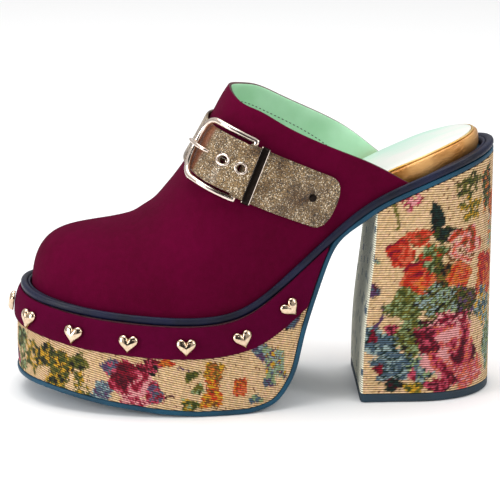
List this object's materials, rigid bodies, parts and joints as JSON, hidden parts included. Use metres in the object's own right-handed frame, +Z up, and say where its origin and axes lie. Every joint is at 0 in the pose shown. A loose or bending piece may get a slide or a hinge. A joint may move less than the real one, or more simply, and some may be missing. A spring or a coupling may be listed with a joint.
{
  "type": "platform clog",
  "caption": "Left backless clog: hollow suede upper with a collar, platform sole, block heel, padded footbed, and a strap with a fastened buckle.",
  "frame": {"origin": "on the floor, under the middle of the shoe's bounding box", "axes": "+X from the toe to the heel, +Y from the outer side of the foot to the inner side, +Z up"},
  "size_m": [0.2434, 0.1068, 0.1541],
  "materials": {
    "suede": "plum suede, short nap",
    "tapestry": "woven floral tapestry on a cream ground, ribbed",
    "navy": "smooth navy leather, soft sheen",
    "teal": "teal moulded sheet, satin",
    "bronze": "metallic bronze leather roll",
    "mint": "pale mint leather, pearly",
    "rubber": "dark navy rubber, matte",
    "glitter": "gold glitter on leather",
    "dark_metal": "dark polished metal",
    "pale_gold": "polished pale gold plating"
  },
  "bodies": {
    "root": {"outsole": "teal", "platform": "tapestry", "platform_band": "suede", "welt": "navy", "footbed": "bronze", "sock": "mint", "heel": "tapestry", "heel_tip": "rubber", "upper": "suede", "strap": "glitter", "strap_tab": "glitter", "buckle_frame": "pale_gold", "buckle_prong": "pale_gold", "keeper": "pale_gold", "eyelet_1": "pale_gold", "eyelet_2": "pale_gold", "tab_rivet": "dark_metal", "heart_stud_01": "pale_gold", "heart_stud_02": "pale_gold", "heart_stud_03": "pale_gold", "heart_stud_04": "pale_gold", "heart_stud_05": "pale_gold", "heart_stud_06": "pale_gold", "heart_stud_07": "pale_gold", "heart_stud_08": "pale_gold", "heart_stud_09": "pale_gold", "heart_stud_10": "pale_gold", "heart_stud_11": "pale_gold", "heart_stud_12": "pale_gold", "heart_stud_13": "pale_gold"}
  },
  "joints": []
}
